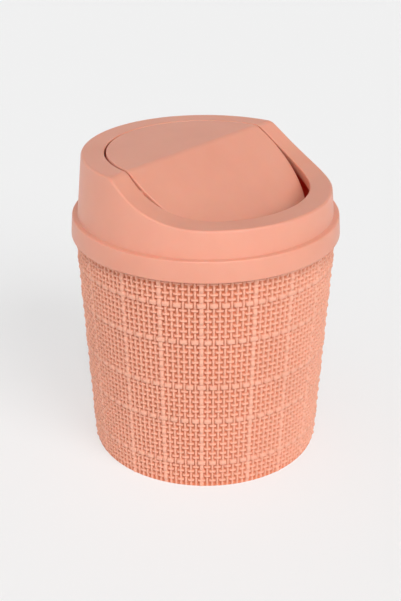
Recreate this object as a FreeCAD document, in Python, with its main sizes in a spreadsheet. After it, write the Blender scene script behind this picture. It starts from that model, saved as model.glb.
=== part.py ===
import FreeCAD, Part
import math
import os
import re
import Sketcher

# Swing-lid desk bin: a tapered bucket, a lift-off hood and a swing flap, all moulded plastic.
# The origin is the centre of the foot. +Z is up, and the low front of the hood faces -Y.
# Lengths are in millimetres and angles in degrees.

SIZES = (
    # Bucket: tapered wall, then a smooth neck and rim that the hood covers
    ("foot_radius", 66.4),
    ("shoulder_radius", 72.5),
    ("shoulder_height", 129.5),
    ("neck_inset", 0.6),
    ("neck_height", 9.3),
    ("rim_wall", 1.9),
    ("foot_wall", 1.9),
    ("floor_thickness", 2.0),
    ("foot_ring_width", 6.0),
    ("foot_recess", 1.5),
    ("foot_chamfer", 2.2),
    ("floor_chamfer", 3.0),
    ("rim_chamfer", 0.5),
    # Bands: the broad upright threads of the burlap relief on the wall
    ("band_width", 2.4),
    ("band_height", 0.45),
    ("band_end_gap", 2.0),
    # Hood: collar band, shelf on the rim, tapered dome and the land round its mouth
    ("hood_wall", 1.8),
    ("collar_clearance", 0.4),
    ("collar_drop", 11.9),
    ("collar_draft", 4.3),
    ("shelf_width", 3.1),
    ("dome_draft", 5.5),
    ("land_rise", 34.1),
    ("land_fall", 19.5),
    ("land_slope", 35.5),
    ("crease_back", 6.3),
    ("crease_round", 7.0),
    ("sweep_round", 76.0),
    ("land_width", 12.6),
    ("mouth_draft", 5.9),
    ("skirt_depth", 6.0),
    ("skirt_wall", 1.6),
    ("collar_chamfer", 0.6),
    ("land_chamfer", 0.7),
    # Flap: folded disc with a flange, hung on two pins
    ("flap_wall", 1.6),
    ("flap_gap", 1.0),
    ("flap_proud", 0.25),
    ("flap_slope", 33.0),
    ("flap_crease_back", 6.9),
    ("flap_draft", 2.9),
    ("flange_depth", 6.5),
    ("flap_chamfer", 0.5),
    ("pivot_front", 2.70),
    ("pivot_drop", 10.2),
    ("pin_radius", 2.0),
    ("pin_clearance", 0.08),
    ("pin_end_gap", 0.5),
    ("pin_shoulder", 0.3),
    ("ear_margin", 3.0),
    ("ear_wall", 3.2),
    # Length by which a cutting outline overshoots the solid
    ("overshoot", 5.0),
)

NAMES = [name for name, value in SIZES]

# Least upward part of a normal that counts as looking up, and the distance that counts as touching
LOOKS_UP = 0.5
NEAR = 0.001

# Thin threads between one band and the next, the share of the circle that a band takes, counted in thin
# threads, and the angle of the first band, from +X towards +Y
BAND_GAPS = (8, 6, 6) * 3 + (8, 8, 8) + (8, 6, 6) * 2
BAND_SHARE = 1.157
FIRST_BAND = -141.1
FULL_TURN = 360

# Levels and radii that follow from the sizes
NECK = "(shoulder_radius - neck_inset)"
RIM = "(shoulder_height + neck_height)"
SHELF = f"({RIM} + hood_wall)"
COLLAR_FOOT = f"({SHELF} - collar_drop)"
COLLAR_TOP = f"({NECK} + collar_clearance + hood_wall)"
COLLAR = f"({COLLAR_TOP} + collar_drop * tan(collar_draft * 1 deg))"
DOME = f"({COLLAR_TOP} - shelf_width)"
LAND = f"({SHELF} + land_rise)"
LAND_FRONT = f"({LAND} - land_fall)"
HOOD_TOP = f"({LAND} + overshoot)"
LAND_EDGE = f"({DOME} - land_rise * tan(dome_draft * 1 deg))"
MOUTH = f"({LAND_EDGE} - land_width)"
FLAP = f"({MOUTH} - flap_gap)"
FLAP_TOP = f"({LAND} + flap_proud)"
PIVOT_Y = "(-pivot_front)"
PIVOT_Z = f"({LAND} - pivot_drop)"
PIVOT_MOUTH = f"({MOUTH} + pivot_drop * tan(mouth_draft * 1 deg))"
EAR = "(pin_radius + ear_margin)"
EAR_REACH = f"({PIVOT_MOUTH} + ear_wall)"
FAR = f"({COLLAR} + overshoot)"

# Land's slope
SLOPE_COS = "cos(land_slope * 1 deg)"
SLOPE_SIN = "sin(land_slope * 1 deg)"
HALF_TURN = "tan(land_slope * 0.5 deg)"

doc = FreeCAD.newDocument("desk_bin")
sheet = doc.addObject("Spreadsheet::Sheet", "Sizes")
for row, (name, value) in enumerate(SIZES, start=1):
    sheet.set(f"A{row}", name)
    sheet.set(f"B{row}", str(value))
    sheet.setAlias(f"B{row}", name)
doc.recompute()


def cells(text):
    """The expression with every size name turned into its cell of the sheet."""
    return re.sub(rf"\b({'|'.join(NAMES)})\b", r"Sizes.\1", text)


def number(text):
    """The expression's present value."""
    return float(sheet.evalExpression(cells(text)))


def new_body(name):
    body = doc.addObject("PartDesign::Body", name)
    body.Label = name
    return body


def origin_plane(body, role):
    return next(item for item in body.Origin.OriginFeatures if item.Role == role)


def new_sketch(body, role, name, offset="0"):
    """A sketch on one of the body's origin planes, moved along the plane's normal."""
    sketch = body.newObject("Sketcher::SketchObject", name)
    sketch.AttachmentSupport = [(origin_plane(body, role), "")]
    sketch.MapMode = "FlatFace"
    sketch.setExpression("AttachmentOffset.Base.z", cells(offset))
    return sketch


def bind(sketch, kind, text, *ends):
    """A constraint whose value is an expression."""
    index = sketch.addConstraint(Sketcher.Constraint(kind, *ends, number(text)))
    sketch.setExpression(f"Constraints[{index}]", cells(text))


def place(sketch, across, up, *point):
    """Hold one point of the sketch at two distances from the sketch's origin."""
    bind(sketch, "DistanceX", across, -1, 1, *point)
    bind(sketch, "DistanceY", up, -1, 1, *point)


def outline(sketch, corners):
    """A closed outline; each corner is two expressions, where a third is the radius of the arc that
    leads to it, negative if that arc turns right."""
    spots = [FreeCAD.Vector(number(corner[0]), number(corner[1]), 0) for corner in corners]
    for index, corner in enumerate(corners):
        start = spots[index - 1]
        chord = spots[index] - start
        if len(corner) == 3:
            radius = number(corner[2])
            left = FreeCAD.Vector(-chord.y, chord.x, 0).normalize() * math.copysign(1, radius)
            sagitta = abs(radius) - math.sqrt(radius ** 2 - chord.Length ** 2 / 4)
            middle = start + chord / 2 - left * sagitta
            sketch.addGeometry(Part.Arc(start, middle, spots[index]))
        else:
            sketch.addGeometry(Part.LineSegment(start, spots[index]))
    ends = [side_ends(sketch, index, spots[index]) for index in range(len(corners))]
    for index, corner in enumerate(corners):
        after = (index + 1) % len(corners)
        sketch.addConstraint(Sketcher.Constraint("Coincident", index, ends[index][1], after, ends[after][0]))
        place(sketch, corner[0], corner[1], index, ends[index][1])
        if len(corner) == 3:
            bind(sketch, "Radius", f"abs({corner[2]})", index)


def side_ends(sketch, side, finish):
    """The numbers of a side's first and last point; an arc that turns right is stored turned about."""
    first, last = (sketch.getPoint(side, point).distanceToPoint(finish) for point in (1, 2))
    return (1, 2) if last < first else (2, 1)


def circle(sketch, across, up, radius):
    centre = FreeCAD.Vector(number(across), number(up), 0)
    ring = sketch.addGeometry(Part.Circle(centre, FreeCAD.Vector(0, 0, 1), number(radius)))
    place(sketch, across, up, ring, 3)
    bind(sketch, "Radius", radius, ring)


def feature(body, kind, name, **sizes):
    """A feature of the body; each named property takes an expression."""
    item = body.newObject(f"PartDesign::{kind}", name)
    for title, text in sizes.items():
        item.setExpression(title, cells(text))
    return item


def revolve(body, kind, name, corners):
    """Turn an outline in the XZ plane round the vertical axis."""
    sketch = new_sketch(body, "XZ_Plane", f"{name}_section")
    outline(sketch, corners)
    turn = feature(body, kind, name)
    turn.Profile = sketch
    turn.ReferenceAxis = (sketch, ["V_Axis"])
    doc.recompute()
    return turn


def cut_through(body, sketch, name):
    """Cut the sketch's area right through the body, both ways."""
    cut = feature(body, "Pocket", name)
    cut.Profile = sketch
    cut.SideType = "Symmetric"
    cut.Type = "ThroughAll"
    doc.recompute()
    return cut


def cross(body, kind, sketch, name, reach):
    """Pad or cut the sketch's area to the same reach on both sides of its plane."""
    item = feature(body, kind, name, Length=f"2 * {reach}")
    item.Profile = sketch
    item.SideType = "Symmetric"
    doc.recompute()
    return item


def looks_up(face):
    low_u, high_u, low_v, high_v = face.ParameterRange
    return face.normalAt((low_u + high_u) / 2, (low_v + high_v) / 2).z > LOOKS_UP


def brims(shape):
    """Numbered edges where a face that looks up meets a steep one, each with its middle point."""
    for index, edge in enumerate(shape.Edges, start=1):
        up = [looks_up(face) for face in shape.ancestorsOfType(edge, Part.Face)]
        if any(up) and not all(up):
            middle = edge.valueAt((edge.FirstParameter + edge.LastParameter) / 2)
            yield f"Edge{index}", math.hypot(middle.x, middle.y), middle.z


def rings(shape, radius, level):
    """Edges that are circles round the vertical axis, of one radius at one level."""
    return [
        f"Edge{index}"
        for index, edge in enumerate(shape.Edges, start=1)
        if edge.Curve.TypeId == "Part::GeomCircle"
        and abs(edge.Curve.Radius - number(radius)) < NEAR
        and abs(edge.Curve.Center.z - number(level)) < NEAR
    ]


def chamfer(body, name, edges, size):
    base = body.Tip
    item = feature(body, "Chamfer", name, Size=size)
    item.Base = (base, edges)
    doc.recompute()
    return item


def stub(body, name, radius, root, reach):
    """A round stub on the pivot line at each side, from root out to reach."""
    sketch = new_sketch(body, "YZ_Plane", f"{name}_outline", root)
    circle(sketch, PIVOT_Y, PIVOT_Z, radius)
    one = feature(body, "Pad", name, Length=f"{reach} - {root}")
    one.Profile = sketch
    doc.recompute()
    both = feature(body, "Mirrored", f"{name}s")
    both.Originals = [one]
    both.MirrorPlane = (origin_plane(body, "YZ_Plane"), [""])
    body.Tip = both
    doc.recompute()
    return both


def cut_away(body, name, tool):
    """Cut another body out of this one."""
    cut = feature(body, "Boolean", name)
    cut.Type = "Cut"
    cut.addObject(tool)
    doc.recompute()
    return cut


def land_outline(drop, inset):
    """Corners of the land's side view, from back to front, lowered by drop or moved in square by inset."""
    level = f"({LAND} - {drop} - {inset})"
    front_level = f"({level} - land_fall)"
    crease = f"(crease_back + {inset} * {HALF_TURN})"
    sweep = f"({crease} - land_fall / tan(land_slope * 1 deg))"
    crease_radius = f"(crease_round - {inset})"
    sweep_radius = f"(sweep_round + {inset})"
    crease_reach = f"({crease_radius} * {HALF_TURN})"
    sweep_reach = f"({sweep_radius} * {HALF_TURN})"
    slope_top = f"{level} - {crease_reach} * {SLOPE_SIN}"
    slope_foot = f"{front_level} + {sweep_reach} * {SLOPE_SIN}"
    return [
        (FAR, level),
        (f"{crease} + {crease_reach}", level),
        (f"{crease} - {crease_reach} * {SLOPE_COS}", slope_top, crease_radius),
        (f"{sweep} + {sweep_reach} * {SLOPE_COS}", slope_foot),
        (f"{sweep} - {sweep_reach}", front_level, f"-{sweep_radius}"),
        (f"-{FAR}", front_level),
    ]


def cone_section(radius, draft, low, high):
    """Half section of a cone that narrows upwards, where radius is its size at the land's level."""
    return [
        ("0", low),
        (f"{radius} + ({LAND} - {low}) * tan({draft} * 1 deg)", low),
        (f"{radius} + ({LAND} - {high}) * tan({draft} * 1 deg)", high),
        ("0", high),
    ]


def make_skirt_core():
    """The mouth's plug with its skirt round it; its floor runs parallel to the land."""
    body = new_body("skirt_core")
    cone = cone_section(f"({MOUTH} + skirt_wall)", "mouth_draft", SHELF, LAND)
    revolve(body, "Revolution", "skirt_cone", cone)
    floor = new_sketch(body, "YZ_Plane", "skirt_floor_outline")
    outline(floor, land_outline("skirt_depth", "0") + [(f"-{FAR}", "0"), (FAR, "0")])
    cut_through(body, floor, "skirt_floor")
    return body


def make_hood_cavity():
    """The hood's inside: even walls under collar, shelf, dome and land, less the skirt and the ears."""
    body = new_body("hood_cavity")
    dome_inside = f"({DOME} - hood_wall / cos(dome_draft * 1 deg))"
    revolve(body, "Revolution", "cavity_form", [
        ("0", COLLAR_FOOT),
        (f"{COLLAR} - hood_wall", COLLAR_FOOT),
        (f"{COLLAR_TOP} - hood_wall", RIM),
        (f"{dome_inside} + hood_wall * tan(dome_draft * 1 deg)", RIM),
        (f"{dome_inside} - land_rise * tan(dome_draft * 1 deg)", LAND),
        ("0", LAND),
    ])
    ceiling = new_sketch(body, "YZ_Plane", "land_underside")
    outline(ceiling, land_outline("0", "hood_wall") + [(f"-{FAR}", HOOD_TOP), (FAR, HOOD_TOP)])
    cut_through(body, ceiling, "cavity_ceiling")
    cut_away(body, "skirt", make_skirt_core())
    ears = new_sketch(body, "YZ_Plane", "ear_outline")
    outline(ears, [
        (f"{PIVOT_Y} + {EAR}", LAND),
        (f"{PIVOT_Y} - {EAR}", LAND),
        (f"{PIVOT_Y} - {EAR}", PIVOT_Z),
        (PIVOT_Y, f"{PIVOT_Z} - {EAR}", EAR),
        (f"{PIVOT_Y} + {EAR}", PIVOT_Z, EAR),
    ])
    cross(body, "Pocket", ears, "ears", EAR_REACH)
    return body


def make_hood():
    body = new_body("hood")
    revolve(body, "Revolution", "hood_form", [
        ("0", COLLAR_FOOT),
        (COLLAR, COLLAR_FOOT),
        (COLLAR_TOP, SHELF),
        (DOME, SHELF),
        (f"{LAND_EDGE} - overshoot * tan(dome_draft * 1 deg)", HOOD_TOP),
        ("0", HOOD_TOP),
    ])
    land = new_sketch(body, "YZ_Plane", "land_side_view")
    top = f"{HOOD_TOP} + overshoot"
    outline(land, land_outline("0", "0") + [(f"-{FAR}", top), (FAR, top)])
    cut_through(body, land, "land")
    cut_away(body, "inside", make_hood_cavity())
    mouth_low = f"({LAND_FRONT} - skirt_depth - overshoot)"
    revolve(body, "Groove", "mouth", cone_section(MOUTH, "mouth_draft", mouth_low, HOOD_TOP))
    bores = new_sketch(body, "YZ_Plane", "bore_outline")
    circle(bores, PIVOT_Y, PIVOT_Z, "pin_radius + pin_clearance")
    cross(body, "Pocket", bores, "pin_bores", f"({EAR_REACH} + pin_end_gap)")
    middle = number(f"{MOUTH} + land_width / 2")
    above = [brim for brim in brims(body.Shape) if brim[2] > number(SHELF) + NEAR]
    edge = [name for name, radius, level in above if radius > middle]
    chamfer(body, "land_edge", edge, "land_chamfer")
    collar = rings(body.Shape, COLLAR_TOP, SHELF) + rings(body.Shape, COLLAR, COLLAR_FOOT)
    chamfer(body, "collar_edges", collar, "collar_chamfer")
    return body


def wall_at(level):
    """Radius of the bucket's wall at a level."""
    return f"(foot_radius + (shoulder_radius - foot_radius) * {level} / shoulder_height)"


def make_bands(body):
    """Low upright bands on the wall, spaced as the broad threads are."""
    low = "foot_chamfer"
    high = "(shoulder_height - band_end_gap)"
    threads = sum(BAND_GAPS) + BAND_SHARE * len(BAND_GAPS)
    turn = FIRST_BAND
    for index, gap in enumerate(BAND_GAPS, start=1):
        sketch = new_sketch(body, "XZ_Plane", f"band_{index}_section")
        aim = FreeCAD.Rotation(FreeCAD.Vector(0, 1, 0), turn)
        sketch.AttachmentOffset = FreeCAD.Placement(FreeCAD.Vector(), aim)
        outline(sketch, [
            (f"{wall_at(low)} - foot_wall / 2", low),
            (f"{wall_at(low)} + band_height", low),
            (f"{wall_at(high)} + band_height", high),
            (f"{wall_at(high)} - rim_wall / 2", high),
        ])
        band = feature(body, "Revolution", f"band_{index}", Angle="band_width / shoulder_radius * 1 rad")
        band.Profile = sketch
        band.ReferenceAxis = (sketch, ["V_Axis"])
        band.Midplane = True
        turn += FULL_TURN * (gap + BAND_SHARE) / threads
    doc.recompute()


def make_bucket():
    body = new_body("bucket")
    floor = "(foot_recess + floor_thickness)"
    ring = "(foot_radius - foot_ring_width)"
    revolve(body, "Revolution", "bucket_form", [
        ("0", "foot_recess"),
        (ring, "foot_recess"),
        (ring, "0"),
        ("foot_radius", "0"),
        ("shoulder_radius", "shoulder_height"),
        (NECK, "shoulder_height"),
        (NECK, RIM),
        (f"{NECK} - rim_wall", RIM),
        ("foot_radius - foot_wall", floor),
        ("0", floor),
    ])
    foot = rings(body.Shape, "foot_radius", "0")
    chamfer(body, "foot_edge", foot, "foot_chamfer")
    corner = rings(body.Shape, "foot_radius - foot_wall", floor)
    chamfer(body, "floor_corner", corner, "floor_chamfer")
    rim = rings(body.Shape, NECK, RIM) + rings(body.Shape, f"{NECK} - rim_wall", RIM)
    chamfer(body, "rim_edges", rim, "rim_chamfer")
    make_bands(body)
    return body


def fold_outline(inset, depth):
    """Corners of the flap's side view: its folded top, moved in square by inset, and a line depth below."""
    level = f"({FLAP_TOP} - {inset})"
    crease = f"(flap_crease_back + {inset} * tan(flap_slope * 0.5 deg))"
    radius = f"(crease_round - {inset})"
    reach = f"({radius} * tan(flap_slope * 0.5 deg))"
    reach_y = f"{reach} * cos(flap_slope * 1 deg)"
    reach_z = f"{reach} * sin(flap_slope * 1 deg)"
    tip = f"({level} - ({crease} + {FAR}) * tan(flap_slope * 1 deg))"
    return [
        (FAR, level),
        (f"{crease} + {reach}", level),
        (f"{crease} - {reach_y}", f"{level} - {reach_z}", radius),
        (f"-{FAR}", tip),
        (f"-{FAR}", f"{tip} - {depth}"),
        (f"{crease} - {reach_y}", f"{level} - {reach_z} - {depth}"),
        (f"{crease} + {reach}", f"{level} - {depth}", f"-{radius}"),
        (FAR, f"{level} - {depth}"),
    ]


def folded_disc(name, radius, inset, depth):
    """A body with the flap's folded side view, trimmed to a cone; radius is its size at the land's level."""
    body = new_body(name)
    fold = new_sketch(body, "YZ_Plane", f"{name}_side_view")
    outline(fold, fold_outline(inset, depth))
    cross(body, "Pad", fold, f"{name}_fold", FAR)
    far_low, low, high, far_high = cone_section(radius, "flap_draft", "0", HOOD_TOP)
    wide = f"2 * {FAR}"
    revolve(body, "Groove", f"{name}_trim", [(wide, far_low[1]), (wide, far_high[1]), high, low])
    return body


def make_flap():
    inside = f"({FLAP} - flap_wall)"
    body = folded_disc("flap", FLAP, "0", "flange_depth")
    cut_away(body, "flap_underside", folded_disc("flap_cavity", inside, "flap_wall", "flange_depth"))
    rim = [name for name, radius, level in brims(body.Shape)]
    chamfer(body, "flap_edge", rim, "flap_chamfer")
    shoulder_end = f"({PIVOT_MOUTH} - pin_end_gap)"
    stub(body, "shoulder", "pin_radius + pin_shoulder", inside, shoulder_end)
    stub(body, "pin", "pin_radius", shoulder_end, f"({EAR_REACH} - pin_end_gap)")
    return body


def check(pieces):
    """Stop if any object failed to build or a piece is not one sound solid."""
    for item in doc.Objects:
        if "Invalid" in item.State or "Error" in item.State:
            raise RuntimeError(f"{item.Name} failed: {item.State}")
    for piece in pieces:
        shape = piece.Shape
        if shape.isNull() or not shape.isValid() or len(shape.Solids) != 1:
            raise RuntimeError(f"{piece.Label} is not one sound solid")


pieces = [make_bucket(), make_hood(), make_flap()]
doc.recompute()
check(pieces)
os.makedirs("parts", exist_ok=True)
for piece in pieces:
    piece.Shape.exportStep(f"parts/{piece.Label}.step")
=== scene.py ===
import math

import bpy
import numpy as np
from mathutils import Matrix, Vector


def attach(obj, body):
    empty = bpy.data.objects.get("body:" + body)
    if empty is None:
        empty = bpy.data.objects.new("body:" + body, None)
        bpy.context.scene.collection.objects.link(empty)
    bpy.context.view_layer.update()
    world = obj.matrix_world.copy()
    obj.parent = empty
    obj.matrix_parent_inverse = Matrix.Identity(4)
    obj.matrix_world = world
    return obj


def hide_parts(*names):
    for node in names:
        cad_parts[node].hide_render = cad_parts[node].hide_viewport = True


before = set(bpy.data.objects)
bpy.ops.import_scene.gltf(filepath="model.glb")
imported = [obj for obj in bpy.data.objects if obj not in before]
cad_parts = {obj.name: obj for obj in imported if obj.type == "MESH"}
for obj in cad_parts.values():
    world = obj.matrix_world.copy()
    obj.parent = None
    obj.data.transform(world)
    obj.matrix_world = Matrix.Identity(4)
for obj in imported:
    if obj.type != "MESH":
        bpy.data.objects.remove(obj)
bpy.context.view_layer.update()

# Looks of the swing-lid desk bin: a bucket with a burlap relief, a hood and a folded flap.
# Lengths are in millimetres until make_piece turns them into metres; angles are in degrees.
# An angle round the bin is counted from its low front (-Y) towards +X.

MM = 0.001

# Bucket: smooth core, neck and foot
FOOT_RADIUS = 66.85
WALL_RADIUS = 73.0
WALL_LEVEL = 128.7
SHOULDER = 129.5
NECK_RADIUS = 71.9
RIM = 138.8
RIM_WALL = 1.9
FLOOR = 3.5
FOOT_RECESS = 1.5
FOOT_RING = 60.4
FOOT_ROUND = 1.0
INSIDE_FOOT = 64.1
FLOOR_ROUND = 4.0
RIM_ROUND = 0.7
CORE_MARGIN = 0.12

# Burlap relief: threads laid as in plain weave, some of them broad and proud of the thin ones
RELIEF = 2.3
THIN_SINK = 0.5
THIN_DIP = 0.6
BROAD_DIP = 1.05
ROW_ARCH = 0.4
THIN_COLUMN_HALF = 0.54
THIN_ROW_HALF = 0.46
BROAD_COLUMN_HALF = 1.02
BROAD_ROW_HALF = 1.1
FLANK = 0.24
THIN_CROWN = 0.32
BROAD_CROWN = 0.26
FLOAT_GAP = 0.3
FLOAT_FALL = 0.3
# Depths below the crowns where the painted pit shade starts and where it is full
PIT_SHADE_START = 0.9
PIT_SHADE_END = 2.0
MEAN_RADIUS = 69.9
PIT_LINES = (0.3, 0.7)
THIN_LINES = (-1.0, -0.55, 0.0, 0.55, 1.0)
BROAD_LINES = (-1.0, -0.72, -0.25, 0.25, 0.72, 1.0)
FIRST_COLUMN = -51.1
THIN_TURN = 2.48
BROAD_TURN = 2.675
COLUMN_GAPS = (8, 6, 6) * 3 + (8, 8, 8) + (8, 6, 6) * 2
FIRST_ROW_LEVEL = 114.75
THIN_STEP = 3.075
BROAD_STEP = 3.13
ROWS_ABOVE = 5
ROWS_BELOW = 38
ROW_PERIOD = 16
BROAD_ROWS = (0, 7)
PANELS = 6
RELIEF_TOP = 129.0

# Hood
LAND = 174.7
LAND_FRONT = 155.2
LAND_SLOPE = 35.5
CREASE = 6.3
CREASE_ROUND = 7.0
SWEEP_ROUND = 76.0
HOOD_WALL = 1.8
LAND_EDGE_RADIUS = 67.72
DOME_DRAFT = 5.5
MOUTH_RADIUS = 55.12
MOUTH_DRAFT = 5.9
SKIRT_DEPTH = 6.0
SKIRT_WALL = 1.6
SHELF = 140.6
DOME_FOOT = 71.0
COLLAR_TOP = 74.1
COLLAR_RADIUS = 75.0
COLLAR_FOOT = 128.7
LAND_ROUND = 1.5
MOUTH_ROUND = 0.6
COLLAR_ROUND = 1.0
SHELF_ROUND = 0.5
LIP_ROUND = 0.4

# Flap and its pivot
FLAP_RADIUS = 54.12
FLAP_TOP = 174.95
FLAP_SLOPE = 33.0
FLAP_CREASE = 6.9
FLAP_DRAFT = 2.9
FLAP_WALL = 1.6
FLANGE = 6.5
FLAP_ROUND = 0.8
PIVOT_Y = -2.7
PIVOT_Z = 164.5
PIN_RADIUS = 2.0
PIN_TIP = 58.87
SHOULDER_RADIUS = 2.3
SHOULDER_TIP = 55.67
PIN_ROUND = 0.3
EAR_RADIUS = 5.0
EAR_INNER = 56.2
EAR_OUTER = 59.37
EAR_SINK = 0.9
BORE_RADIUS = 2.08

LAND_SHARES = (0.12, 0.25, 0.4, 0.55, 0.7, 0.8, 0.88)
FLAP_LINES = 60
FLAP_EDGE_SHARE = 0.97
TURN_STEPS = 720
ARC_STEPS = 6
PIN_STEPS = 48
MEET_ROUNDS = 8

# Plastic: middle, darker and paler tint, the painted shade that turns the relief's pits a deeper red,
# standing for the shade and bounced light in them, the share and depth of the light that gets into the
# plastic, and its least and greatest roughness with the strength of its reflection
BUCKET_COLOURS = ((0.775, 0.383, 0.273), (0.76, 0.373, 0.265), (0.79, 0.393, 0.281))
LID_COLOURS = ((0.715, 0.311, 0.217), (0.7, 0.301, 0.209), (0.73, 0.321, 0.225))
PIT_SHADE_COLOUR = (0.84, 0.6, 0.45, 1.0)
BUCKET_GLOW = (0.08, 0.4)
LID_GLOW = (0.35, 1.5)
BUCKET_SHEEN = (0.5, 0.66, 0.25)
LID_SHEEN = (0.36, 0.5, 0.5)
GLOW_REACH = (1.0, 0.25, 0.13)
PLASTIC_IOR = 1.49

# Scale and detail of the plastic's cloudiness and of its grain, the noise levels where its three tints lie,
# from dark to pale, and the grain's strength and height in metres
CLOUD = (38.0, 3.0)
GRAIN = (2600.0, 2.0)
TINT_STOPS = (0.3, 0.5, 0.7)
GRAIN_STRENGTH = 0.12
GRAIN_HEIGHT = 0.0002

# Studio, in metres
FLOOR_REACH = 8.0
FLOOR_COLOUR = (0.94, 0.94, 0.94, 1.0)
FLOOR_GLOW = 0.888
FLOOR_GLOW_SHARE = 0.5
FLOOR_ROUGHNESS = 0.9
FLOOR_SHEEN = 0.1
WHITE = (1.0, 1.0, 1.0, 1.0)
SIDE_LIGHT = 1.06
TOP_LIGHT = 0.05
FRONT_SIDE = (-0.94, 0.34, 0.0)
FRONT_SHARE = 1.35
BACK_SHARE = 0.65
LAMPS = (
    ("key", (-0.142, -0.807, 0.574), 1.4, 36.0),
    ("edge", (-0.45, -0.4, 0.798), 1.1, 10.0),
)
INSIDE_GLOW = (1.0, 0.06, 0.04)
INSIDE_GLOW_LEVEL = 0.09
INSIDE_GLOW_RADIUS = 0.04
INSIDE_GLOW_POWER = 0.022
CAMERA_PLACE = (-0.4223, -0.3616, 0.3543)
CAMERA_AIM = (-0.00189, 0.00218, 0.08333)
CAMERA_LENS = 63.76


def tan(degrees):
    return math.tan(math.radians(degrees))


def make_piece(name, body, node, points, faces, material):
    """A smooth mesh that rides on a body and stands for a node."""
    mesh = bpy.data.meshes.new(name)
    mesh.from_pydata((np.asarray(points) * MM).tolist(), [], faces)
    mesh.polygons.foreach_set("use_smooth", np.ones(len(mesh.polygons), bool))
    mesh.materials.append(material)
    mesh.update()
    piece = bpy.data.objects.new(name, mesh)
    bpy.context.scene.collection.objects.link(piece)
    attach(piece, body)
    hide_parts(node)
    return piece


def grid_faces(lines, places, lines_close, places_close):
    """Quads of a grid of points that is stored line by line."""
    line = np.arange(lines if lines_close else lines - 1)[:, None]
    place = np.arange(places if places_close else places - 1)[None, :]
    after = (line + 1) % lines
    beside = (place + 1) % places
    corners = (
        line * places + place,
        after * places + place,
        after * places + beside,
        line * places + beside,
    )
    return np.stack(np.broadcast_arrays(*corners), -1).reshape(-1, 4).tolist()


def directions(angles):
    """Unit vectors in plan at angles round the bin."""
    turn = np.radians(angles)
    return np.sin(turn), -np.cos(turn)


def rounded(corners):
    """A chain of points in the (radius, height) half plane. A corner is (radius, height, rounding); the
    numbers may be arrays over the angles. The first and last corner stay sharp."""
    spots = [np.stack(np.broadcast_arrays(*corner[:2]), -1).astype(float) for corner in corners]
    shape = np.broadcast_shapes(*(spot.shape for spot in spots))
    spots = [np.broadcast_to(spot, shape) for spot in spots]
    chain = [spots[0]]
    for index in range(1, len(corners) - 1):
        chain.extend(bend(spots[index - 1], spots[index], spots[index + 1], corners[index][2]))
    chain.append(spots[-1])
    return chain


def bend(before, corner, after, rounding):
    """The points of an arc that rounds a corner, or the corner itself where the rounding is 0."""
    if rounding == 0:
        return [corner]
    come = before - corner
    leave = after - corner
    come = come / np.linalg.norm(come, axis=-1, keepdims=True)
    leave = leave / np.linalg.norm(leave, axis=-1, keepdims=True)
    cosine = np.clip((come * leave).sum(-1, keepdims=True), -1, 1)
    half = np.arccos(cosine) / 2
    tangent = rounding / np.tan(half)
    middle = come + leave
    middle = middle / np.linalg.norm(middle, axis=-1, keepdims=True)
    centre = corner + middle * rounding / np.sin(half)
    start = corner + come * tangent - centre
    finish = corner + leave * tangent - centre
    sweep = np.pi - 2 * half
    points = []
    for share in np.linspace(0, 1, ARC_STEPS):
        weights = np.sin((1 - share) * sweep), np.sin(share * sweep)
        points.append(centre + (start * weights[0] + finish * weights[1]) / np.sin(sweep))
    return points


def turned(name, body, node, chain, material, closed):
    """A piece turned round the vertical axis from a chain over the angles; an open chain starts and ends
    on the axis."""
    angles = np.arange(TURN_STEPS) * 360 / TURN_STEPS
    across, along = directions(angles)
    chain = [np.broadcast_to(spot, (TURN_STEPS, 2)) for spot in chain]
    ends = []
    if not closed:
        ends = [chain[0][0], chain[-1][0]]
        chain = chain[1:-1]
    spots = np.stack(chain, 1)
    points = np.stack([spots[..., 0] * across[:, None], spots[..., 0] * along[:, None], spots[..., 1]], -1)
    places = len(chain)
    faces = grid_faces(TURN_STEPS, places, True, closed)
    points = points.reshape(-1, 3)
    for end, place in zip(ends, (0, places - 1)):
        centre = len(points)
        points = np.vstack([points, [[0, 0, end[1]]]])
        for line in range(TURN_STEPS):
            rim = line * places + place, (line + 1) % TURN_STEPS * places + place
            faces.append((centre, rim[1], rim[0]) if place == 0 else (centre, rim[0], rim[1]))
    faces = [face[::-1] for face in faces]
    return make_piece(name, body, node, points, faces, material)


def fold(y, top, slope, crease):
    """Height of a flat back that bends through a rounded crease into a slope at its front."""
    rate = tan(slope)
    start = crease + CREASE_ROUND * tan(slope / 2)
    end = start - CREASE_ROUND * math.sin(math.radians(slope))
    inside = np.clip(start - y, 0, start - end)
    arc = top - CREASE_ROUND + np.sqrt(CREASE_ROUND ** 2 - inside ** 2)
    return np.where(y > end, np.where(y < start, arc, top), top - (crease - y) * rate)


def land_level(y):
    """Height of the land: flat back, slope and a wide sweep into the flat front."""
    half = tan(LAND_SLOPE / 2)
    foot = CREASE - (LAND - LAND_FRONT) / tan(LAND_SLOPE)
    start = foot - SWEEP_ROUND * half
    end = start + SWEEP_ROUND * math.sin(math.radians(LAND_SLOPE))
    inside = np.clip(y - start, 0, end - start)
    sweep = LAND_FRONT + SWEEP_ROUND - np.sqrt(SWEEP_ROUND ** 2 - inside ** 2)
    return np.where(y < end, sweep, fold(y, LAND, LAND_SLOPE, CREASE))


def flap_level(y):
    """Height of the flap's top: flat back and slope."""
    return fold(y, FLAP_TOP, FLAP_SLOPE, FLAP_CREASE)


def meet(surface, radius, draft, drop, along):
    """Where a cone that widens downwards meets a surface lowered by drop, at each angle; radius is the
    cone's size at the land's level."""
    reach = np.full_like(along, radius)
    for _ in range(MEET_ROUNDS):
        level = surface(reach * along) - drop
        reach = radius + (LAND - level) * tan(draft)
    return reach, surface(reach * along) - drop


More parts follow.
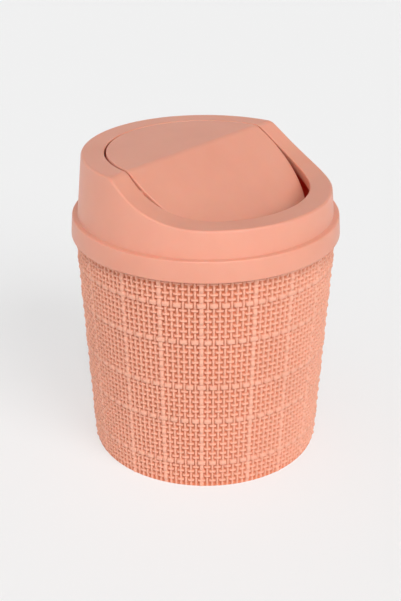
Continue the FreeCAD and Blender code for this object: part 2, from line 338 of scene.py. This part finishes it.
def peach(name, base, dark, pale, glow, sheen):
    """Matte moulded plastic: fine spark-eroded grain, faint cloudiness, a soft sheen and painted pit shade.
    """
    material = bpy.data.materials.new(name)
    material.use_nodes = True
    nodes = material.node_tree.nodes
    links = material.node_tree.links
    shader = nodes["Principled BSDF"]
    place = nodes.new("ShaderNodeTexCoord")
    cloud = nodes.new("ShaderNodeTexNoise")
    grain = nodes.new("ShaderNodeTexNoise")
    for noise, (scale, detail) in ((cloud, CLOUD), (grain, GRAIN)):
        noise.inputs["Scale"].default_value = scale
        noise.inputs["Detail"].default_value = detail
        links.new(place.outputs["Object"], noise.inputs["Vector"])
    tint = nodes.new("ShaderNodeValToRGB")
    stops = tint.color_ramp.elements
    stops.new(TINT_STOPS[1])
    for stop, position, colour in zip(stops, TINT_STOPS, (dark, base, pale)):
        stop.position = position
        stop.color = (*colour, 1.0)
    links.new(cloud.outputs["Fac"], tint.inputs["Fac"])
    # Painted shade: the pit attribute multiplies the colour towards a deeper red, standing for shade in the
    # pits
    pit = nodes.new("ShaderNodeAttribute")
    pit.attribute_name = "pit"
    shade_pits = nodes.new("ShaderNodeMixRGB")
    shade_pits.blend_type = "MULTIPLY"
    shade_pits.inputs["Color2"].default_value = PIT_SHADE_COLOUR
    links.new(pit.outputs["Fac"], shade_pits.inputs["Fac"])
    links.new(tint.outputs["Color"], shade_pits.inputs["Color1"])
    links.new(shade_pits.outputs["Color"], shader.inputs["Base Color"])
    rough = nodes.new("ShaderNodeMapRange")
    rough.inputs["To Min"].default_value = sheen[0]
    rough.inputs["To Max"].default_value = sheen[1]
    links.new(grain.outputs["Fac"], rough.inputs["Value"])
    links.new(rough.outputs["Result"], shader.inputs["Roughness"])
    bump = nodes.new("ShaderNodeBump")
    bump.inputs["Strength"].default_value = GRAIN_STRENGTH
    bump.inputs["Distance"].default_value = GRAIN_HEIGHT
    links.new(grain.outputs["Fac"], bump.inputs["Height"])
    links.new(bump.outputs["Normal"], shader.inputs["Normal"])
    shader.inputs["IOR"].default_value = PLASTIC_IOR
    shader.inputs["Specular IOR Level"].default_value = sheen[2]
    shader.inputs["Subsurface Weight"].default_value = glow[0]
    shader.inputs["Subsurface Radius"].default_value = GLOW_REACH
    shader.inputs["Subsurface Scale"].default_value = glow[1] * MM
    return material


def make_core(material):
    """The bucket under its relief: inside, floor, foot ring, neck and rim."""
    sink = RELIEF + CORE_MARGIN
    rate = (WALL_RADIUS - FOOT_RADIUS) / WALL_LEVEL
    chain = rounded([
        (0, FOOT_RECESS),
        (FOOT_RING, FOOT_RECESS, LIP_ROUND),
        (FOOT_RING, 0, LIP_ROUND),
        (FOOT_RADIUS - sink, 0, LIP_ROUND),
        (FOOT_RADIUS - sink + rate * SHOULDER, SHOULDER, 0),
        (NECK_RADIUS, SHOULDER, 0),
        (NECK_RADIUS, RIM, RIM_ROUND),
        (NECK_RADIUS - RIM_WALL, RIM, RIM_ROUND),
        (INSIDE_FOOT, FLOOR, FLOOR_ROUND),
        (0, FLOOR),
    ])
    turned("bucket_core", "bucket", "bucket", chain, material, False)


def column_threads():
    """Places of the upright threads along the mean circle, closing on the first, and which are broad."""
    turns = [0.0]
    broad = []
    for gap in COLUMN_GAPS:
        broad += [True] + [False] * gap
        turns += [BROAD_TURN] + [THIN_TURN] * (gap - 1) + [BROAD_TURN]
    broad.append(True)
    turns = np.cumsum(turns)
    centres = FIRST_COLUMN + turns * 360 / turns[-1]
    return np.radians(centres) * MEAN_RADIUS, np.array(broad)


def row_threads():
    """Numbers and levels of the level threads, from the top down, and which are broad."""
    numbers = np.arange(-ROWS_ABOVE, ROWS_BELOW + 1)
    broad = np.isin(numbers % ROW_PERIOD, BROAD_ROWS)
    steps = np.where(broad[1:] | broad[:-1], BROAD_STEP, THIN_STEP)
    drops = np.concatenate([[0], np.cumsum(steps)])
    return numbers, FIRST_ROW_LEVEL + drops[ROWS_ABOVE] - drops, broad


def thread_lines(centres, halves, broad):
    """Grid lines over parallel threads: each one's crown and flanks, and lines in the pits between.
    Gives each line's place, its thread and its offset from that thread."""
    places, owners, offsets = [], [], []
    for index, (centre, half) in enumerate(zip(centres, halves)):
        spots = [share * half for share in (BROAD_LINES if broad[index] else THIN_LINES)]
        spots = [-half - FLANK, *spots, half + FLANK]
        if index + 1 < len(centres):
            pit = centres[index + 1] - centre - halves[index + 1] - half - 2 * FLANK
            spots += [half + FLANK + pit * share for share in PIT_LINES]
        places += [centre + spot for spot in spots]
        owners += [index] * len(spots)
        offsets += spots
    return np.array(places), np.array(owners), np.array(offsets)


def crown(offsets, halves, broad):
    """How far a thread's section lies below the highest threads."""
    sink = np.where(broad, 0, THIN_SINK)
    rise = np.where(broad, BROAD_CROWN, THIN_CROWN)
    arch = rise * np.clip(offsets / halves, -1, 1) ** 2
    beyond = np.clip((np.abs(offsets) - halves) / FLANK, 0, 1)
    return sink + arch + beyond * (RELIEF - rise)


def smooth_step(share):
    share = np.clip(share, 0, 1)
    return share * share * (3 - 2 * share)


def weave():
    """Angles and levels of the relief's grid lines and its depth below the crowns at every crossing of
    lines. Where the sum of a row's and a column's number is even, the row passes over; it dives where the
    next column leaves it no room."""
    columns, column_broad = column_threads()
    column_half = np.where(column_broad, BROAD_COLUMN_HALF, THIN_COLUMN_HALF)
    places, column, aside = thread_lines(columns, column_half, column_broad)
    inside = (places >= columns[0]) & (places < columns[-1])
    places, column, aside = places[inside], column[inside], aside[inside]
    numbers, levels, row_broad = row_threads()
    row_half = np.where(row_broad, BROAD_ROW_HALF, THIN_ROW_HALF)
    drops, row, above = thread_lines(-levels, row_half, row_broad)
    inside = (drops > -RELIEF_TOP) & (drops < -FOOT_ROUND)
    drops, row, above = drops[inside], row[inside], above[inside]

    column_place = np.interp(places, columns, np.arange(len(columns)))
    row_place = np.interp(drops, -levels, numbers)
    from_over = np.abs((column_place[None, :] + numbers[row][:, None] + 1) % 2 - 1)
    left = np.floor(column_place).astype(int)
    left_room = places - columns[left] - column_half[left]
    right_room = columns[left + 1] - places - column_half[left + 1]
    left_over = (left[None, :] + numbers[row][:, None]) % 2 == 1
    room = np.where(left_over, left_room[None, :], right_room[None, :])
    dive = RELIEF * smooth_step((FLOAT_GAP + FLOAT_FALL - room) / FLOAT_FALL)
    arch = ROW_ARCH * from_over ** 2
    row_depth = crown(above, row_half[row], row_broad[row])[:, None] + arch + dive
    dip = np.where(column_broad[column], BROAD_DIP, THIN_DIP)
    wave = (1 + np.cos(np.pi * (row_place[:, None] + column[None, :]))) / 2
    column_depth = crown(aside, column_half[column], column_broad[column])[None, :] + dip[None, :] * wave
    depth = np.minimum(np.minimum(row_depth, column_depth), RELIEF)
    places = np.append(places, places[0] + columns[-1] - columns[0])
    depth = np.hstack([depth, depth[:, :1]])
    return np.degrees(places / MEAN_RADIUS), -drops, depth


def wall_radius(level):
    """Radius of the relief's crowns."""
    return FOOT_RADIUS + (WALL_RADIUS - FOOT_RADIUS) * level / WALL_LEVEL


def relief_points():
    """Points of the relief's grid from the shoulder down, with its rounded foot turned under, and the share
    of painted pit shade that each takes from how deep it lies."""
    angles, levels, depth = weave()
    radii = wall_radius(levels)[:, None] - depth
    heights = np.broadcast_to(levels[:, None], radii.shape)
    tuck = np.full((1, len(angles)), NECK_RADIUS - CORE_MARGIN)
    top = np.full((1, len(angles)), SHOULDER)
    foot_radii, foot_heights = [], []
    for turn in np.linspace(0, math.pi / 2, ARC_STEPS)[1:]:
        foot_radii.append(FOOT_RADIUS - FOOT_ROUND * (1 - math.cos(turn)) - depth[-1] * math.cos(turn))
        foot_heights.append(np.full(len(angles), FOOT_ROUND * (1 - math.sin(turn))))
    foot_radii.append(np.full(len(angles), FOOT_RADIUS - RELIEF - 2 * CORE_MARGIN))
    foot_heights.append(np.full(len(angles), CORE_MARGIN / 2))
    radii = np.vstack([tuck, radii, foot_radii])
    heights = np.vstack([top, heights, foot_heights])
    across, along = directions(angles)
    # Painted shade: the deeper a point lies, the more of the pit tint it takes
    pits = smooth_step((depth - PIT_SHADE_START) / (PIT_SHADE_END - PIT_SHADE_START))
    pits = np.pad(pits, ((1, len(foot_radii)), (0, 0)), mode="edge")
    return np.stack([radii * across, radii * along, heights], -1), pits


def grid_normals(points):
    """Smooth normals of a grid whose first and last place are the same line."""
    side = np.diff(points, axis=1)
    down = np.diff(points, axis=0)
    facing = np.cross(down[:, :-1] + down[:, 1:], side[:-1] + side[1:])
    facing /= np.linalg.norm(facing, axis=-1, keepdims=True)
    total = np.zeros_like(points)
    for lines in (slice(None, -1), slice(1, None)):
        for places in (slice(None, -1), slice(1, None)):
            total[lines, places] += facing
    total[:, 0] += total[:, -1]
    total[:, -1] = total[:, 0]
    return total / np.linalg.norm(total, axis=-1, keepdims=True)


def make_relief(material):
    """The relief in upright panels, whose normals run on from one panel to the next."""
    points, pits = relief_points()
    normals = grid_normals(points)
    cuts = np.linspace(0, points.shape[1] - 1, PANELS + 1).astype(int)
    for number, (first, last) in enumerate(zip(cuts[:-1], cuts[1:]), start=1):
        part = points[:, first:last + 1]
        facing = normals[:, first:last + 1].reshape(-1, 3)
        faces = grid_faces(part.shape[0], part.shape[1], False, False)
        name = f"bucket_relief_{number}"
        piece = make_piece(name, "bucket", "bucket", part.reshape(-1, 3), faces, material)
        piece.data.normals_split_custom_set_from_vertices(facing.tolist())
        # The pit attribute carries the painted shade of the pits to the material
        pit = piece.data.attributes.new("pit", "FLOAT", "POINT")
        pit.data.foreach_set("value", pits[:, first:last + 1].ravel())


def span(start, finish, share, drop, along):
    """A point part of the way across the land or its underside, at each angle."""
    reach = start[0] + (finish[0] - start[0]) * share
    return reach, land_level(reach * along) - drop


def make_hood(material):
    """The hood as one closed ring of sections: mouth, land, dome, shelf, collar and the inside."""
    along = directions(np.arange(TURN_STEPS) * 360 / TURN_STEPS)[1]
    lip = meet(land_level, MOUTH_RADIUS, MOUTH_DRAFT, SKIRT_DEPTH, along)
    mouth = meet(land_level, MOUTH_RADIUS, MOUTH_DRAFT, 0, along)
    edge = meet(land_level, LAND_EDGE_RADIUS, DOME_DRAFT, 0, along)
    inner_wall = LAND_EDGE_RADIUS - HOOD_WALL
    under_edge = meet(land_level, inner_wall, DOME_DRAFT, HOOD_WALL, along)
    under_mouth = meet(land_level, MOUTH_RADIUS + SKIRT_WALL, MOUTH_DRAFT, HOOD_WALL, along)
    lip_back = meet(land_level, MOUTH_RADIUS + SKIRT_WALL, MOUTH_DRAFT, SKIRT_DEPTH, along)
    start = (lip[0] + SKIRT_WALL / 2, lip[1])
    land = [span(mouth, edge, share, 0, along) for share in LAND_SHARES]
    underside = [span(under_edge, under_mouth, share, HOOD_WALL, along) for share in LAND_SHARES]
    up = rounded([start, (*lip, LIP_ROUND), (*mouth, MOUTH_ROUND), land[0]])
    over = [np.stack(spot, -1) for spot in land[1:-1]]
    inner_foot = inner_wall + (LAND - RIM) * tan(DOME_DRAFT)
    down = rounded([
        land[-1],
        (*edge, LAND_ROUND),
        (DOME_FOOT, SHELF, SHELF_ROUND),
        (COLLAR_TOP, SHELF, COLLAR_ROUND),
        (COLLAR_RADIUS, COLLAR_FOOT, COLLAR_ROUND),
        (COLLAR_RADIUS - HOOD_WALL, COLLAR_FOOT, LIP_ROUND),
        (COLLAR_TOP - HOOD_WALL, RIM, 0),
        (inner_foot, RIM, 0),
        (*under_edge, LIP_ROUND),
        underside[0],
    ])
    under = [np.stack(spot, -1) for spot in underside[1:-1]]
    back = rounded([
        underside[-1],
        (*under_mouth, LIP_ROUND),
        (*lip_back, LIP_ROUND),
        start,
    ])
    chain = up + over + down + under + back[:-1]
    turned("hood_shell", "hood", "hood", chain, material, True)


def make_ears(material):
    """Two ears under the land with the holes that the flap's pins turn in."""
    turns = np.arange(PIN_STEPS) * 2 * math.pi / PIN_STEPS
    aside = np.cos(turns)
    rise = np.sin(turns)
    reach = np.full(PIN_STEPS, EAR_RADIUS)
    upper = rise > 0
    reach[upper] = EAR_RADIUS / np.maximum(np.abs(aside[upper]), rise[upper])
    y = PIVOT_Y + reach * aside
    z = PIVOT_Z + reach * rise
    top = land_level(y) - EAR_SINK
    z = np.where(upper & (z > top) | (z >= PIVOT_Z + EAR_RADIUS), top, z)
    bore = PIVOT_Y + BORE_RADIUS * aside, PIVOT_Z + BORE_RADIUS * rise
    loops = [(EAR_INNER, *bore), (EAR_INNER, y, z), (EAR_OUTER, y, z), (EAR_OUTER, *bore)]
    points, faces = [], []
    for side in (1, -1):
        base = len(points) * PIN_STEPS
        block = grid_faces(len(loops), PIN_STEPS, True, True)
        faces += [[base + corner for corner in (face if side == 1 else face[::-1])] for face in block]
        for x, loop_y, loop_z in loops:
            points.append(np.stack(np.broadcast_arrays(side * x, loop_y, loop_z), -1))
    make_piece("hood_ears", "hood", "hood", np.concatenate(points), faces, material)


def make_flap(material):
    """The folded flap: top, rounded edge, flange and underside, trimmed to a cone."""
    along = directions(np.arange(TURN_STEPS) * 360 / TURN_STEPS)[1]
    inside = FLAP_RADIUS - FLAP_WALL
    edge = meet(flap_level, FLAP_RADIUS, FLAP_DRAFT, 0, along)
    under_edge = meet(flap_level, inside, FLAP_DRAFT, FLAP_WALL, along)

    def part_way(ring, share, drop):
        reach = ring[0] * share
        return reach, flap_level(reach * along) - drop

    shares = np.linspace(0, FLAP_EDGE_SHARE, FLAP_LINES)
    top = [np.stack(part_way(edge, share, 0), -1) for share in shares]
    rim = rounded([
        part_way(edge, FLAP_EDGE_SHARE, 0),
        (*edge, FLAP_ROUND),
        (*meet(flap_level, FLAP_RADIUS, FLAP_DRAFT, FLANGE, along), LIP_ROUND),
        (*meet(flap_level, inside, FLAP_DRAFT, FLANGE, along), LIP_ROUND),
        (*under_edge, LIP_ROUND),
        part_way(under_edge, FLAP_EDGE_SHARE, FLAP_WALL),
    ])
    under = [np.stack(part_way(under_edge, share, FLAP_WALL), -1) for share in shares[::-2]]
    under.append(np.stack(part_way(under_edge, 0, FLAP_WALL), -1))
    turned("flap_shell", "flap", "flap", top + rim[1:-1] + under, material, False)


def make_pins(material):
    """The flap's two pins, each with the shoulder that keeps the flap off the ear."""
    root = FLAP_RADIUS - FLAP_WALL / 2
    section = rounded([
        (0, root),
        (SHOULDER_RADIUS, root, 0),
        (SHOULDER_RADIUS, SHOULDER_TIP, PIN_ROUND),
        (PIN_RADIUS, SHOULDER_TIP, 0),
        (PIN_RADIUS, PIN_TIP, PIN_ROUND),
        (0, PIN_TIP),
    ])
    reach, out = np.array(section).T
    turns = np.arange(PIN_STEPS) * 2 * math.pi / PIN_STEPS
    points, faces = [], []
    for side in (1, -1):
        base = len(points) * PIN_STEPS
        block = grid_faces(len(section), PIN_STEPS, False, True)
        faces += [[base + corner for corner in (face if side == 1 else face[::-1])] for face in block]
        for radius, x in zip(reach, out):
            y = PIVOT_Y + radius * np.cos(turns)
            z = PIVOT_Z + radius * np.sin(turns)
            points.append(np.stack(np.broadcast_arrays(side * x, y, z), -1))
    make_piece("flap_pins", "flap", "flap", np.concatenate(points), faces, material)


def make_stage():
    """A plain pale floor that fills the view."""
    mesh = bpy.data.meshes.new("floor")
    signs = ((-1, -1), (1, -1), (1, 1), (-1, 1))
    corners = [(FLOOR_REACH * across, FLOOR_REACH * along, 0) for across, along in signs]
    mesh.from_pydata(corners, [], [range(len(corners))])
    material = bpy.data.materials.new("floor_paint")
    material.use_nodes = True
    nodes = material.node_tree.nodes
    links = material.node_tree.links
    shader = nodes["Principled BSDF"]
    shader.inputs["Base Color"].default_value = FLOOR_COLOUR
    shader.inputs["Roughness"].default_value = FLOOR_ROUGHNESS
    shader.inputs["Specular IOR Level"].default_value = FLOOR_SHEEN
    glow = nodes.new("ShaderNodeEmission")
    glow.inputs["Strength"].default_value = FLOOR_GLOW
    ray = nodes.new("ShaderNodeLightPath")
    share = nodes.new("ShaderNodeMapRange")
    share.inputs["To Max"].default_value = FLOOR_GLOW_SHARE
    mirrored = nodes.new("ShaderNodeMath")
    links.new(ray.outputs["Is Camera Ray"], mirrored.inputs[0])
    links.new(ray.outputs["Is Glossy Ray"], mirrored.inputs[1])
    passed = nodes.new("ShaderNodeMath")
    links.new(mirrored.outputs["Value"], passed.inputs[0])
    links.new(ray.outputs["Is Transmission Ray"], passed.inputs[1])
    links.new(passed.outputs["Value"], share.inputs["Value"])
    seen = nodes.new("ShaderNodeMixShader")
    links.new(share.outputs["Result"], seen.inputs["Fac"])
    links.new(shader.outputs["BSDF"], seen.inputs[1])
    links.new(glow.outputs["Emission"], seen.inputs[2])
    links.new(seen.outputs["Shader"], nodes["Material Output"].inputs["Surface"])
    mesh.materials.append(material)
    floor = bpy.data.objects.new("floor", mesh)
    bpy.context.scene.collection.objects.link(floor)


def make_light():
    """Studio light from the sides, weaker from above, with a soft lamp from the right of the view and a
    weak one that picks out the upper edges."""
    scene = bpy.context.scene
    world = bpy.data.worlds.new("studio")
    world.use_nodes = True
    nodes = world.node_tree.nodes
    links = world.node_tree.links
    shader = nodes["Background"]
    shader.inputs["Color"].default_value = WHITE
    place = nodes.new("ShaderNodeTexCoord")
    parts = nodes.new("ShaderNodeSeparateXYZ")
    links.new(place.outputs["Generated"], parts.inputs["Vector"])
    fade = nodes.new("ShaderNodeMapRange")
    fade.inputs["To Min"].default_value = SIDE_LIGHT
    fade.inputs["To Max"].default_value = TOP_LIGHT
    links.new(parts.outputs["Z"], fade.inputs["Value"])
    facing = nodes.new("ShaderNodeVectorMath")
    facing.operation = "DOT_PRODUCT"
    facing.inputs[1].default_value = FRONT_SIDE
    links.new(place.outputs["Generated"], facing.inputs[0])
    share = nodes.new("ShaderNodeMapRange")
    share.inputs["From Min"].default_value = -1.0
    share.inputs["To Min"].default_value = BACK_SHARE
    share.inputs["To Max"].default_value = FRONT_SHARE
    links.new(facing.outputs["Value"], share.inputs["Value"])
    level = nodes.new("ShaderNodeMath")
    level.operation = "MULTIPLY"
    links.new(fade.outputs["Result"], level.inputs[0])
    links.new(share.outputs["Result"], level.inputs[1])
    links.new(level.outputs["Value"], shader.inputs["Strength"])
    scene.world = world
    for name, source, strength, angle in LAMPS:
        lamp = bpy.data.lights.new(name, "SUN")
        lamp.energy = strength
        lamp.angle = math.radians(angle)
        item = bpy.data.objects.new(name, lamp)
        item.rotation_euler = Vector(source).to_track_quat("Z", "Y").to_euler()
        scene.collection.objects.link(item)


def make_inside_glow():
    """The red light that gets through the thin walls into the closed bin."""
    lamp = bpy.data.lights.new("inside_glow", "POINT")
    lamp.color = INSIDE_GLOW
    lamp.energy = INSIDE_GLOW_POWER
    lamp.shadow_soft_size = INSIDE_GLOW_RADIUS
    item = bpy.data.objects.new("inside_glow", lamp)
    item.location = (0, 0, INSIDE_GLOW_LEVEL)
    bpy.context.scene.collection.objects.link(item)


def make_camera():
    """A camera at the photo's view."""
    camera = bpy.data.cameras.new("camera")
    camera.lens = CAMERA_LENS
    camera.clip_end = 2 * FLOOR_REACH
    item = bpy.data.objects.new("camera", camera)
    item.location = CAMERA_PLACE
    item.rotation_euler = (Vector(CAMERA_AIM) - Vector(CAMERA_PLACE)).to_track_quat("-Z", "Y").to_euler()
    bpy.context.scene.collection.objects.link(item)
    bpy.context.scene.camera = item


bucket_plastic = peach("bucket_plastic", *BUCKET_COLOURS, BUCKET_GLOW, BUCKET_SHEEN)
lid_plastic = peach("lid_plastic", *LID_COLOURS, LID_GLOW, LID_SHEEN)
make_core(bucket_plastic)
make_relief(bucket_plastic)
make_hood(lid_plastic)
make_ears(lid_plastic)
make_flap(lid_plastic)
make_pins(lid_plastic)
make_stage()
make_light()
make_inside_glow()
make_camera()
bpy.context.scene.view_settings.view_transform = "Standard"
